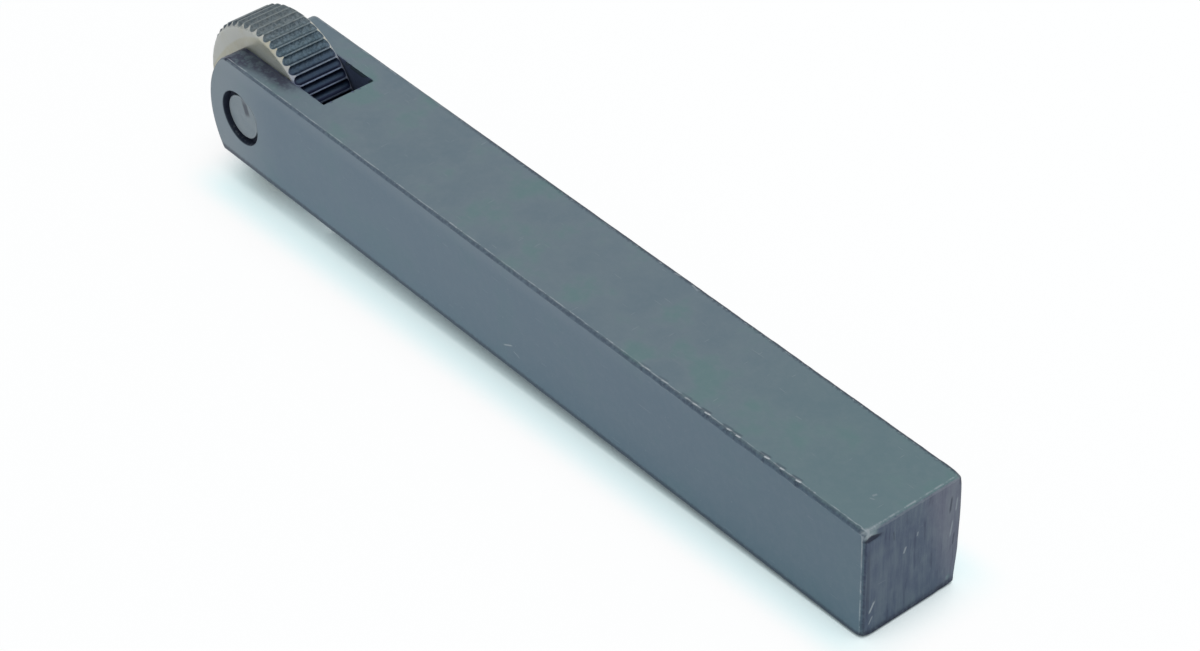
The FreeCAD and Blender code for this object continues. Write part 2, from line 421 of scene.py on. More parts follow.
def across_columns(points, inwards, depth_far, depth_near, slot_half):
    """The strip across the holder over each point of the side view. Both broken edges are
    quarter rounds: inset = depth * (1 - sin a) and y = half width - depth * (1 - cos a).
    Flat columns between them line up with the slot's cheeks."""
    a = np.linspace(0, np.pi / 2, BREAK_STEPS + 1)
    steps = np.concatenate([[0.05, 0.13], np.linspace(0.25, 1.0, LAND_STEPS - 2)])
    parts = []
    for side, depth in ((-1, depth_far), (1, depth_near)):
        inset = depth[:, None] * (1 - np.sin(a))
        y = HALF - depth[:, None] * (1 - np.cos(a))
        flat_start = HALF - depth[:, None]
        flat = flat_start + (slot_half - flat_start) * steps[None, :]
        inset = np.hstack([inset, np.zeros_like(flat)])
        y = np.hstack([y, flat]) * side
        worn = np.hstack([arris_of(a, points), np.exp(-((steps / 0.025) ** 2)) * lit_rim(points)])
        worn[:, BREAK_STEPS - 1 :] *= 1 + 5 * nicks_at(points, side)[:, None]
        worn = np.maximum(worn, end_arris(points)[:, None])
        # the round of each broken edge is painted dark across its middle, painted shade, darker
        # still at the knocks
        shade_at_nicks = 1 + 4.0 * nicks_at(points, side)[:, None]
        dark = np.hstack([np.sin(2 * a) ** 0.5 * shade_at_nicks, np.zeros_like(flat)])
        dark = np.maximum(dark, end_foot(points))
        place = points[:, None, :] + inwards[:, None, :] * inset[:, :, None]
        grid = np.stack([place[..., 0], y, place[..., 1]], axis=2)
        parts.append((grid, worn, dark))
    return parts


def on_tail(points):
    """1 on the tail's end face and its corners, 0 elsewhere, as a column."""
    return smooth(1.0 - (points[:, :1] - TAIL) / 0.5)


def lit_rim(points):
    """How bright the inner arris of an edge break is: bright on top, dull round the tail."""
    return 1.0 - 0.8 * on_tail(points)


def arris_of(a, points):
    """Wear across an edge break: most at both arrises, and round the tail at the outer one."""
    below = (points[:, 1:] < TOP / 2) * (1 - on_tail(points))
    # on the lower edges the outer arris's wear is dimmed as painted shade
    outer = np.exp(-((a / 0.25) ** 2)) * (0.5 + 0.5 * on_tail(points)) * (1 - 0.8 * below)
    inner = np.exp(-(((a - np.pi / 2) / 0.25) ** 2)) * lit_rim(points)
    return outer + inner


def end_foot(points):
    """Darkening along the foot of the tail's end face: 2 * exp(-(height / 0.75)^4), as a column."""
    return 2.0 * np.exp(-((points[:, 1:] / 0.75) ** 4)) * on_tail(points)


def end_arris(points):
    """Wear along the rounded corners between the tail's face and the top or bottom face."""
    across = (points[:, 0] - TAIL) / 0.35
    on_top = points[:, 1] > TOP * 0.5
    return (0.5 + 0.5 * on_top) * np.exp(-(((across - 0.85) / 0.28) ** 2))


def add_shank(skin, sizes):
    """The strip across the whole shank and the two cheeks' strips. Gives the strips' grids
    by piece and side."""
    head, head_in, shank, shank_in = holder_side_view(sizes)
    slot_half = sizes.slot_half_width / MM
    middle = np.linspace(-slot_half, slot_half, SLOT_STEPS + 1)[1:-1]
    rims = {}
    for name, points, inwards in (("shank", shank, shank_in), ("head", head, head_in)):
        depths = edge_break(points, sizes, -1), edge_break(points, sizes, 1)
        far, near = across_columns(points, inwards, *depths, slot_half)
        rims[name] = {-1: far[0], 1: near[0]}
        strips = (far, near)
        if name == "shank":
            wear = (end_arris(points)[:, None], end_foot(points))
            worn, dark = (np.tile(column, (1, len(middle))) for column in wear)
            flat = (carried_across(points, middle), worn, dark)
            whole = zip(far, flat, near)
            strips = ([np.concatenate([a, b, c[:, ::-1]], axis=1) for a, b, c in whole],)
        for grid, worn, dark in strips:
            skin.add(grid, arris=worn, rounding=dark)
    return rims


def add_sides(skin, rims):
    """The shank's two side faces, ruled between the broken bottom and top edges."""
    columns = STATIONS + 1 + CORNER_STEPS
    worn = np.zeros((columns, ROWS_HIGH + 1))
    worn[:, -1] = 0.55
    worn[-4:] = 0.8
    for side in (-1, 1):
        edge = rims["shank"][side][:, 0, :]
        low = edge[:columns]
        high = edge[::-1][:columns]
        face = between(low, high, rows_up())
        face[-1] = edge[columns - 1 : columns + ROWS_HIGH]
        skin.add(face, arris=worn)


def slot_end_line(sizes):
    """The hollow end of the slot in the side view: x = end - hollow * (1 - t^2), t from -1 to 1."""
    t = np.linspace(-1.0, 1.0, ROWS_HIGH + 1)
    x = sizes.slot_end / MM - sizes.slot_hollow / MM * (1 - t**2)
    return pairs(x, (t + 1) / 2 * TOP)


STAKE_REACH = math.radians(27)
STAKE_FADE = math.radians(17)


def staked(angle, sizes):
    """How far the groove is closed by the stake at an angle: 1 at its middle, 0 away from it."""
    off = (angle - sizes.stake_angle + np.pi) % (2 * np.pi) - np.pi
    return smooth((STAKE_REACH - np.abs(off)) / STAKE_FADE)


def add_cheeks(skin, rims, sizes):
    """Each cheek as rings about the pin: in from the side face's edge, down the groove and
    through the hole, and out again over the inner face. Where it is staked, the groove's
    wall slopes in to the pin instead. Between the cheeks lies the slot's end."""
    slot_half = sizes.slot_half_width / MM
    centre = np.array([PIN_X, PIN_Z])
    groove = sizes.groove_radius / MM
    floor = sizes.groove_depth / MM
    stake = sizes.stake_depth / MM
    end_line = slot_end_line(sizes)
    # (radius, depth) down the open groove, and down the staked slope
    open_way = [
        (groove + 0.05, 0.0),
        (groove, 0.05),
        (groove, 0.3),
        (groove, 0.62),
        (groove, floor),
        ((groove + PIN_RADIUS) / 2, floor),
        (PIN_RADIUS, floor),
    ]
    stake_way = [
        (groove + 0.42, 0.0),
        (groove + 0.16, 0.07),
        (groove - 0.06, 0.16),
        (groove - 0.22, 0.23),
        (groove - 0.38, stake - 0.09),
        (groove - 0.5, stake - 0.04),
        (PIN_RADIUS, stake),
    ]
    open_way, stake_way = np.array(open_way), np.array(stake_way)
    sooty = np.array([0.6, 0.9, 1.0, 1.0, 1.0, 1.0])
    for side in (-1, 1):
        head, shank = rims["head"][side], rims["shank"][side]
        foot, crown = shank[0, 0], shank[-1, 0]
        upright = foot + (crown - foot) * rows_up()[1:-1, None]
        # the head's last point is the shank's first, so the loop holds it once
        outer = np.vstack([head[:, 0], upright, crown])
        inner = np.vstack([head[:, -1], np.insert(end_line, 1, side * slot_half, axis=1)[1:]])
        angle = np.arctan2(outer[:, 2] - PIN_Z, outer[:, 0] - PIN_X)
        spoke = spokes_at(angle)
        closed = staked(angle, sizes)[:, None]
        way = open_way + (stake_way - open_way) * closed[:, :, None]
        ring = centre + spoke[:, None, :] * way[..., :1]
        groove_rings = np.stack([ring[..., 0], side * (HALF - way[..., 1]), ring[..., 1]], axis=2)
        parts = smooth(np.linspace(0, 1, FACE_RINGS)) ** 0.8
        face_rings = between(outer, groove_rings[:, 0], parts)
        mouth = np.insert(centre + spoke * PIN_RADIUS, 1, side * slot_half, axis=1)
        hole_rings = between(groove_rings[:, -1], mouth, (0.0, 0.5, 1.0))
        inner_rings = between(mouth, inner, np.linspace(0, 1, INNER_RINGS))
        rings = (face_rings, groove_rings[:, 1:], hole_rings[:, 1:], inner_rings[:, 1:])
        grid = np.concatenate(rings, axis=1)
        soot_and_shade = (
            np.eye(1, FACE_RINGS, FACE_RINGS - 1) * (1 - closed) * 0.2,
            sooty * (1 - 0.75 * closed),
            np.ones((len(grid), 2)),
            np.full((len(grid), INNER_RINGS - 1), 0.75),
        )
        worn = np.zeros(grid.shape[:2])
        worn[: len(head), 0] = 0.55
        worn[:, FACE_RINGS - 1] = 0.45 * (1 - closed[:, 0])
        skin.add(grid, closed=True, hollow=np.hstack(soot_and_shade), arris=worn)
    y = np.linspace(-slot_half, slot_half, SLOT_STEPS + 1)
    skin.add(carried_across(end_line, y), hollow=0.95)


KNOCKS = (
    # place on the tail (y, z), way in (x, y, z), reach (x, y, z), depth in millimetres, and how
    # much of it is rubbed bright and filled with dirt
    ((5.15, 12.30), (0.60, -0.20, -0.75), (0.60, 0.85, 0.50), 0.36, 1.9, 0.0),
    ((4.90, 11.62), (1.00, 0.0, 0.0), (0.40, 0.85, 0.20), 0.16, 0.0, 1.8),
    ((-5.65, 12.45), (0.45, 0.60, -0.65), (0.90, 0.50, 0.60), 0.12, 0.5, 0.0),
    ((5.65, 0.30), (0.45, -0.50, 0.75), (0.60, 0.55, 0.60), 0.22, 0.0, 0.4),
    ((-5.90, 0.00), (0.10, 1.00, 0.10), (2.50, 1.20, 3.60), 0.50, 0.0, 0.0),
    ((-4.60, 1.10), (1.00, 0.0, 0.0), (0.30, 0.35, 0.45), 0.10, 0.5, 0.2),
    ((-3.60, 0.45), (1.00, 0.0, 0.0), (0.30, 0.50, 0.35), 0.10, 0.3, 0.5),
)


def knock_tail(skin):
    """Knocked corners of the tail: points near a knock move inwards by
    depth * exp(-(distance / reach)^2), with a reach of its own along each axis."""
    arris, hollow = skin.names.index("arris"), skin.names.index("hollow")
    for (y, z), way, reach, deep, bright, dirt_and_shade in KNOCKS:
        place = np.array([TAIL + 0.1, y, z])
        for points, values in zip(skin.points, skin.values):
            near = np.exp(-(((points - place) / reach) ** 2).sum(axis=1))
            points += np.array(way) * (deep * near)[:, None]
            values[:, arris] += bright * near
            values[:, hollow] += dirt_and_shade * near


def saw_end(skin):
    """Shallow saw marks on the tail's face: points on it move in by a wandering wave that
    leans a little and runs from top to bottom."""
    for points in skin.points:
        x, y, z = points.T
        inside = smooth((HALF - 0.45 - np.abs(y)) / 0.5) * smooth((z - 0.4) / 0.5)
        inside = inside * smooth((TOP - 0.4 - z) / 0.5) * (x < TAIL + 0.02)
        lean = y + 0.09 * z
        deep = 0.5 + 0.5 * wander(lean + 0.15 * wander(z, 5, 3.0), 31, 1.1)
        points[:, 0] += inside * 0.035 * deep


def build_holder(sizes):
    """The holder's skin with its saw marks and knocks, made an object."""
    skin = Skin(("arris", "rounding", "hollow"))
    rims = add_shank(skin, sizes)
    add_sides(skin, rims)
    add_cheeks(skin, rims, sizes)
    saw_end(skin)
    knock_tail(skin)
    return skin.make("knurling_holder")


# The axle pin

PIN_STEPS = 96
PIN_EDGE_STEPS = 7
PIN_FACE_STEPS = 12
PIN_EDGE = 0.15
PIN_CROWN = 0.02


def build_pin():
    """A surface of revolution about the pin's axis: its radius is carried through the given
    (radius, y) points. Its ends are barely crowned, with a turned centre mark and a round
    edge."""
    reach = pin_high.y / MM
    profile = [(PIN_RADIUS, 0.0), (PIN_RADIUS, reach - 0.5), (PIN_RADIUS, reach - 0.2)]
    corner = np.array([PIN_RADIUS - PIN_EDGE, reach - PIN_EDGE - PIN_CROWN])
    profile += list(corner + PIN_EDGE * spokes_at(np.linspace(0, np.pi / 2, PIN_EDGE_STEPS)))
    inwards = corner[0] * (1 - np.linspace(0.08, 1.0, PIN_FACE_STEPS))
    crown = reach - PIN_CROWN * (inwards / PIN_RADIUS) ** 2
    dimple = 0.05 * np.exp(-((inwards / 0.28) ** 2))
    profile += list(zip(inwards, crown - dimple))
    profile = np.array(profile)
    profile = np.vstack([profile[::-1], profile[1:] * [1, -1]])
    angle = np.linspace(0, 2 * np.pi, PIN_STEPS, endpoint=False)[:, None]
    x = PIN_X + profile[:, 0] * np.cos(angle)
    z = PIN_Z + profile[:, 0] * np.sin(angle)
    y = np.broadcast_to(profile[:, 1], x.shape)
    rim = np.exp(-(((profile[:, 0] - PIN_RADIUS + PIN_EDGE * 0.6) / 0.12) ** 2))
    rim = np.where(np.abs(profile[:, 1]) > reach - 0.3, rim, 0.0)
    side_wall = np.where(profile[:, 0] > PIN_RADIUS - 1e-6, 1.0, 0.0)
    skin = Skin(("arris", "hollow"))
    skin.add(np.stack([x, y, z], axis=2), closed=True, arris=rim[None], hollow=side_wall[None])
    return skin.make("knurling_axle_pin")


# The knurl wheel

TOOTH_LAND_STEPS = 4
TOOTH_GROOVE_STEPS = 16


def tooth_heights(sizes):
    """Angles round the wheel and the toothed radius at each. A tooth is a narrow land at full
    radius; between two lands lies a round groove, the arc through both land edges and the
    groove's bottom."""
    land = sizes.land / MM
    depth = sizes.groove_depth / MM
    pitch = 2 * np.pi / sizes.teeth
    half_land = land / WHEEL_RADIUS / 2
    on_land = np.linspace(-1, 1, TOOTH_LAND_STEPS + 1)[:-1] * half_land
    span = pitch - 2 * half_land
    part = (1 - np.cos(np.linspace(0, np.pi, TOOTH_GROOVE_STEPS + 1)[:-1])) / 2
    in_groove = half_land + part * span
    chord = 2 * WHEEL_RADIUS * math.sin(span / 2)
    sink = depth - WHEEL_RADIUS * (1 - math.cos(span / 2))
    arc = chord**2 / (8 * sink) + sink / 2
    off = (in_groove - half_land - span / 2) * WHEEL_RADIUS
    sunk = depth - arc + np.sqrt(np.maximum(arc**2 - off**2, 0))
    offset = np.concatenate([on_land, in_groove])
    height = np.concatenate([np.zeros_like(on_land), np.maximum(sunk, 0)])
    angle = (np.arange(sizes.teeth)[:, None] * pitch + offset).ravel() + sizes.first_tooth
    deep = np.tile(height, sizes.teeth)
    return angle, WHEEL_RADIUS - deep, np.tile(height / depth, sizes.teeth)


def build_wheel(sizes):
    """Across each angle the wheel's profile runs out of the bore, up one side, over the
    chamfer to where it meets the toothed radius, over the rim and down the other side.
    The meeting line is rounded by a small, uneven wear radius."""
    half = wheel_high.y / MM
    bore = sizes.bore_radius / MM
    angle, tooth, groove = tooth_heights(sizes)
    face_edge = WHEEL_RADIUS - sizes.chamfer / MM
    wear = 0.045 * (1 + 0.6 * wander(angle * WHEEL_RADIUS, 71, 1.3))
    lost = 0.015 * np.clip(wander(angle * WHEEL_RADIUS, 83, 2.3), 0, 1) * (groove < 0.05)
    tooth = tooth - lost
    rings = []

    def ring(*values):
        """Add a ring: its radius, y, and how much it is land, sunk and side face."""
        rings.append([np.broadcast_to(value, angle.shape) for value in values])

    on_land = np.exp(-((groove / 0.13) ** 2))
    ring(bore, 0.0, 0, 0, 0)
    ring(bore, half - 0.25, 0, 0, 0)
    ring(bore + 0.2, half, 0, 0, 1)
    for r in (*np.linspace(bore + 0.6, face_edge - 0.25, 7), face_edge - 0.05):
        ring(r, half, 0, 0, 1)
    ring(face_edge + 0.015, half - 0.03, 0.7, 0, 0.6)
    for part in (0.3, 0.65, 0.92):
        r = face_edge + (tooth - face_edge) * part - wear * part * 0.4
        ring(r, half - (r - face_edge), 0.55, 0, 0.4)
    knee_y = half - (tooth - face_edge)
    ring(tooth - wear * 0.35, knee_y - wear * 0.2, 1.0, groove * 0.2, 0)
    ring(tooth, knee_y - wear * 1.3, np.maximum(on_land, 0.35), groove * 0.7, 0)
    for part in (0.12, 0.35, 0.68, 1.0):
        ring(tooth, (knee_y - wear * 1.3) * (1 - part), on_land, groove, 0)
    near = np.array(rings)
    far = near[-2:0:-1] * np.array([1, -1, 1, 1, 1])[:, None]
    r, y, land, sunk, face = np.concatenate([near, far, near[:1]]).transpose(1, 2, 0)
    x = PIN_X + r * np.cos(angle)[:, None]
    z = PIN_Z + r * np.sin(angle)[:, None]
    skin = Skin(("land", "sunk", "face"))
    skin.add(np.stack([x, y, z], axis=2), closed=True, land=land, sunk=sunk, face=face)
    return skin.make("knurling_wheel", smooth_below=28.0)


# Shader arithmetic: Python expressions on sockets add the nodes

def math_node(operation, swapped=False):
    """An operator's method: it adds the Math node of this name on both values."""

    def method(self, other):
        values = (other, self) if swapped else (self, other)
        return self.shader.math(operation, *values)

    return method


class Wire:
    """A value, vector or colour that flows out of a node."""

    def __init__(self, shader, socket):
        self.shader = shader
        self.socket = socket

    __add__ = __radd__ = math_node("ADD")
    __sub__ = math_node("SUBTRACT")
    __rsub__ = math_node("SUBTRACT", swapped=True)
    __mul__ = __rmul__ = math_node("MULTIPLY")
    __pow__ = math_node("POWER")

    def __abs__(self):
        return self.shader.math("ABSOLUTE", self)


class Shader:
    """Adds nodes to one material's or world's tree."""

    def __init__(self, tree):
        self.tree = tree
        tree.nodes.clear()

    def node(self, kind, settings=None, sockets=None, output=0):
        """A node of this type, its settings first, then its sockets' values and links."""
        made = self.tree.nodes.new(kind)
        for key, value in (settings or {}).items():
            setattr(made, key, value)
        for key, value in (sockets or {}).items():
            if isinstance(value, Wire):
                self.tree.links.new(value.socket, made.inputs[key])
            else:
                made.inputs[key].default_value = value
        return Wire(self, made.outputs[output])

    def math(self, operation, *values):
        """A Math node on these values."""
        return self.node("ShaderNodeMath", {"operation": operation}, dict(enumerate(values)))

    def mix(self, part, a, b, blend="MIX"):
        """Colour a turned towards colour b by part."""
        a, b = (v if isinstance(v, Wire) else (*v, 1.0) for v in (a, b))
        settings = {"data_type": "RGBA", "blend_type": blend}
        return self.node("ShaderNodeMix", settings, {0: part, 6: a, 7: b}, output=2)

    def coats(self, under, layers):
        """Colour under these (part, colour) layers, laid on from first to last."""
        for part, tint in layers:
            under = self.mix(part, under, tint)
        return under

    def step(self, value, low, high):
        """Smooth mask: 0 where value is at low, 1 where it is at high."""
        settings = {"interpolation_type": "SMOOTHSTEP"}
        return self.node("ShaderNodeMapRange", settings, {0: value, 1: low, 2: high})

    def millimetres(self, scale=(1.0, 1.0, 1.0), turn=(0.0, 0.0, 0.0), shift=(0.0, 0.0, 0.0)):
        """Object coordinates in millimetres, stretched, turned or centred for a pattern."""
        place = self.node("ShaderNodeTexCoord", output=3)
        sockets = {0: place, 1: shift, 2: turn, 3: tuple(s / MM for s in scale)}
        return self.node("ShaderNodeMapping", {}, sockets)

    def axes(self, place):
        """The x, y and z of a vector."""
        outputs = self.node("ShaderNodeSeparateXYZ", {}, {0: place}).socket.node.outputs
        return [Wire(self, output) for output in outputs]

    def noise(self, place, per_mm, detail=3.0, rough=0.55, bend=0.0):
        """Cloudy noise about 0.5, with this many lumps to a millimetre."""
        sockets = {"Vector": place, "Scale": per_mm, "Detail": detail}
        sockets.update({"Roughness": rough, "Distortion": bend})
        return self.node("ShaderNodeTexNoise", {}, sockets)

    def value(self, name):
        """A wear value that the mesh carries."""
        return self.node("ShaderNodeAttribute", {"attribute_name": name}, output=2)

    def bump(self, height, depth_mm, strength):
        """Normal of a relief that stands depth_mm high where height is 1."""
        sockets = {"Height": height, "Distance": depth_mm * MM, "Strength": strength}
        return self.node("ShaderNodeBump", {}, sockets)

    def stroke(self, centre, towards, half_length, half_width):
        """Mask of one short straight stroke about a centre, all in millimetres."""
        run = Vector(towards).normalized()
        place = self.millimetres(shift=tuple(-a for a in centre))
        along = self.node(
            "ShaderNodeVectorMath", {"operation": "DOT_PRODUCT"}, {0: place, 1: run}, output=1
        )
        reach = self.node("ShaderNodeVectorMath", {"operation": "LENGTH"}, {0: place}, output=1)
        off = self.math("MAXIMUM", reach * reach - along * along, 0.0) ** 0.5
        ends = self.step(abs(along), half_length, half_length * 0.5)
        return ends * self.step(off, half_width, half_width * 0.4)

    def finish(self, surface, output="ShaderNodeOutputMaterial"):
        """Close the tree with this surface."""
        made = self.tree.nodes.new(output)
        self.tree.links.new(surface.socket, made.inputs["Surface"])

    def metal(self, tint, rough, metallic, normal):
        """Close the material as metal of this colour."""
        sockets = {"Base Color": tint, "Roughness": rough, "Metallic": metallic, "Normal": normal}
        self.finish(self.node("ShaderNodeBsdfPrincipled", {}, sockets))


def new_material(name):
    """A material, and the shader that fills its tree."""
    material = bpy.data.materials.new(name)
    material.use_nodes = True
    return material, Shader(material.node_tree)


MARKS = (
    # centre, direction, half length and half width in millimetres, and strength; dark below 0
    ((-38.0, 1.8, 12.7), (0.3, 1.0, 0.0), 0.30, 0.16, 0.4),
    ((-38.2, 2.3, 12.7), (1.0, 0.4, 0.0), 0.30, 0.10, 0.3),
    ((8.5, 5.9, 3.0), (1.0, 0.0, -0.5), 0.90, 0.10, 0.9),
    ((7.2, 5.9, 2.6), (1.0, 0.0, 0.3), 0.60, 0.08, 0.5),
    ((-41.15, 4.8, 3.4), (0.0, -0.55, 1.0), 0.80, 0.16, 0.9),
    ((-41.15, 4.9, 1.9), (0.0, -0.55, 1.0), 0.55, 0.13, 0.6),
    ((-41.15, 1.0, 7.9), (0.0, -0.4, 1.0), 0.45, 0.16, 0.7),
    ((-41.15, -0.5, 8.9), (0.0, -0.2, 1.0), 0.30, 0.13, 0.5),
    ((-41.15, -4.7, 7.0), (0.0, -0.15, 1.0), 1.10, 0.13, 0.6),
    ((-41.15, -5.2, 9.6), (0.0, -0.1, 1.0), 0.90, 0.12, 0.6),
    ((-41.15, -4.5, 9.9), (0.0, -0.1, 1.0), 1.10, 0.16, -0.6),
    ((-41.15, -5.0, 5.6), (0.0, -0.1, 1.0), 0.90, 0.14, -0.5),
    ((-41.15, 2.4, 10.4), (0.0, 0.1, 1.0), 0.70, 0.12, -0.4),
    ((-41.15, 5.35, 6.5), (0.0, 0.0, 1.0), 5.20, 0.28, -0.35),
    # the next two dark strokes at the near cheek's nose corner are painted shade, carrying on the
    # wheel's shadow
    ((54.6, 5.70, 12.65), (0.3, 1.0, 0.0), 0.55, 0.30, -0.75),
    ((54.4, 3.40, 12.7), (1.0, 0.2, 0.0), 0.80, 0.32, -0.70),
    ((-3.4, -5.55, 12.7), (1.0, 0.2, 0.0), 0.50, 0.16, 0.5),
    ((-6.0, -5.45, 12.7), (1.0, -0.2, 0.0), 0.70, 0.14, 0.5),
)


def holder_steel(finishes):
    """Blackened steel: a matt blue-grey oxide, cloudy, rubbed at the arrises, sooty in hollows,
    with painted shade and shadow.
    """
    material, s = new_material("holder_blackened_steel")
    plain = s.millimetres()
    sawn = s.millimetres(scale=(1.0, 1.0, 0.12), turn=(math.radians(5.0), 0.0, 0.0))
    x, y, z = s.axes(plain)
    arris, rounding, hollow = s.value("arris"), s.value("rounding"), s.value("hollow")
    cloud = s.noise(plain, 0.16, 4.0, 0.55)
    blotch = s.noise(plain, 0.55, 3.0, 0.6)
    small = s.noise(plain, 1.3, 4.0, 0.6)
    chips = s.noise(plain, 2.6, 3.0, 0.6)
    grain = s.noise(plain, 14.0, 2.0, 0.6)
    lines = s.noise(s.millimetres(scale=(0.05, 1.0, 1.0)), 9.0, 3.0, 0.6)
    dashes = s.noise(s.millimetres(scale=(0.5, 1.0, 0.5)), 1.1, 3.0, 0.6)
    streaks = s.noise(sawn, 2.2, 5.0, 0.62, 0.25)
    fine_streaks = s.noise(sawn, 7.5, 3.0, 0.6, 0.15)
    on_end = s.step(x, TAIL + 0.16, TAIL + 0.05)
    on_side = s.step(abs(y), HALF - 0.25, HALF - 0.05)

    pale = s.step(z, 10.6, 12.2) * s.step(x, -30.0, 10.0) * on_side * 0.12
    oxide = (
        (s.step(cloud, 0.36, 0.66), finishes.blacked_cool),
        (s.step(cloud, 0.50, 0.34) * 0.8, finishes.blacked_teal),
        (s.step(x, -8.0, -38.0) * 0.45, finishes.blacked_teal),
        # the side faces take the darker, bluer oxide as painted shade
        (on_side * 0.75, finishes.blacked_side_shade),
        (s.step(x, 45.0, 57.0) * on_side * 0.16, finishes.ground),
        # painted shade: the side faces grow darker towards the tail and the bottom
        (on_side * s.step(x + 2 * z, 50.0, -45.0) * 0.14, finishes.soot_and_shade),
        (pale + s.step(small, 0.35, 0.75) * 0.07, finishes.rubbed),
        (s.step(lines, 0.55, 0.85) * 0.06, finishes.rubbed),
    )
    end = (
        (s.step(blotch, 0.36, 0.66) * 0.25, finishes.blacked),
        (s.step(streaks, 0.38, 0.72) * 0.45, finishes.blacked),
        (s.step(y - 0.25 * z, -3.0, -6.2) * 0.16, finishes.worn_end),
        (s.step(fine_streaks, 0.62, 0.80) * 0.14, finishes.rubbed),
        (s.step(streaks, 0.42, 0.26) * 0.40, finishes.soot_and_shade),
    )

    # painted shadow of the wheel over the near cheek's top, up to the slot's lip
    ragged = y + 1.8 * (small - 0.5) - 1.5 * s.step(x, 49.5, 55.0)
    on_cheek = s.step(ragged, 5.3, 4.3) * s.step(y, 2.0, 3.0) * s.step(y, 5.86, 5.70)
    on_cheek = on_cheek * s.step(x + 3.0 * (small - 0.5), 44.5, 47.5) * s.step(z, 11.0, 12.2)
    lip = s.step(y, 3.75, 3.30) * s.step(y, 2.9, 3.1) * s.step(x, 44.0, 47.0)
    wheel_shadow_mask = on_cheek * (0.48 + 0.52 * s.step(small, 0.36, 0.58))
    wheel_shadow_mask = s.math("MAXIMUM", wheel_shadow_mask, lip * s.step(z, 12.0, 12.5))

    # broken edges: dark across the round as painted shade, with rubbed dashes along both arrises;
    # the far top edge is dark, the foot of the sides darkened as painted shade, and the tail's top
    # edge a thin bright line
    far = s.step(y + 0.7 * (chips - 0.5), -5.25, -5.60) * s.step(z, 11.5, 12.3)
    far = far * (0.20 + 0.80 * s.step(x, 38.0, 22.0))
    # the rounding value paints shade across the broken edges; with it go the dark far top edge and
    # the tail's darker foot
    dirt_and_shade = rounding * (0.28 + 0.26 * s.step(chips, 0.36, 0.60)) + far * 0.55
    # painted shade along the foot of the side faces
    foot = s.step(z + 0.4 * (chips - 0.5), 0.95, 0.50) * on_side
    crown = s.step(x, -40.3, -40.6) * s.step(abs(z - 12.48 + 0.3 * (chips - 0.5)), 0.17, 0.05)
    rub = arris * (0.34 + 0.50 * s.step(dashes, 0.42, 0.60) + 0.50 * s.step(chips, 0.56, 0.68))
    rub = rub * (1 - 0.75 * far)

    # painted glints low in the groove round the pin, and the slot's inside
    groove_glint = s.step(hollow, 0.6, 0.9) * s.step(y, 5.1, 5.5) * s.step(z, 5.0, 3.0)
    inside = s.step(hollow, 0.55, 0.70) * s.step(abs(y), 3.4, 3.2) * s.step(x, 39.5, 40.3)

    # a few thin scratches, all over and not in line
    scratch_a = s.noise(s.millimetres((0.14, 2.2, 2.2), (0.5, 0.3, 0.35)), 2.4, 1.0, 0.5)
    scratch_b = s.noise(s.millimetres((2.2, 0.2, 2.2), (0.2, 0.9, 0.6)), 2.0, 1.0, 0.5)
    scratch = s.step(scratch_a, 0.755, 0.785) + s.step(scratch_b, 0.765, 0.795)

    steel = s.coats(s.coats(finishes.blacked, oxide), (
        (on_end, s.coats(finishes.blacked_end, end)),
        # the wheel's painted shadow on the near cheek
        (wheel_shadow_mask * 0.86, finishes.wheel_shadow),
        # painted shade across the edges, then along the foot of the side faces
        (s.math("MINIMUM", dirt_and_shade, 0.85), finishes.soot_and_shade),
        (foot * 0.66, finishes.soot_and_shade),
        (crown * 0.30, finishes.rubbed),
        (s.step(rub, 0.12, 0.95) * 0.85, finishes.rubbed),
        (s.step(hollow, 0.1, 0.9) * 0.93, finishes.soot_and_shade),
        # painted glints in the groove
        (groove_glint * s.step(chips, 0.52, 0.66) * 0.30, finishes.rubbed),
        (inside * 0.9, finishes.deep),
        (scratch * 0.22 * (1 - s.step(hollow, 0.1, 0.5)), finishes.rubbed),
    ))
    # beside each knock a dark stroke of painted shade, and a fleck of bare steel in it
    for place, half, deep in NICKS:
        shade = s.stroke((place + 0.35, 5.38, 12.7), (1.0, 0.10, 0.0), 0.80, 0.24)
        fleck = s.stroke((place, 5.52, 12.66), (1.0, 0.12, 0.0), half * 0.9, 0.11)
        fleck = fleck * s.step(small, 0.30, 0.52)
        nick = ((shade * deep * 3.0, finishes.soot_and_shade), (fleck * deep * 6.5, finishes.bare))
        steel = s.coats(steel, nick)
    for centre, towards, half_length, half_width, strength in MARKS:
        mark = s.stroke(centre, towards, half_length, half_width) * abs(strength)
        steel = s.mix(mark, steel, finishes.rubbed if strength > 0 else finishes.soot_and_shade)

    rough = 0.43 + 0.10 * (small - 0.5) - 0.10 * s.step(rub, 0.1, 0.9) + 0.12 * on_end
    relief = 0.5 * grain + 0.6 * lines * (1 - on_end) + 1.4 * streaks * on_end
    relief = relief + 0.8 * fine_streaks * on_end + 0.5 * small - 0.8 * scratch
    s.metal(steel, rough + 0.25 * hollow, 0.78 - 0.6 * hollow, s.bump(relief, 0.012, 0.7))
    return material


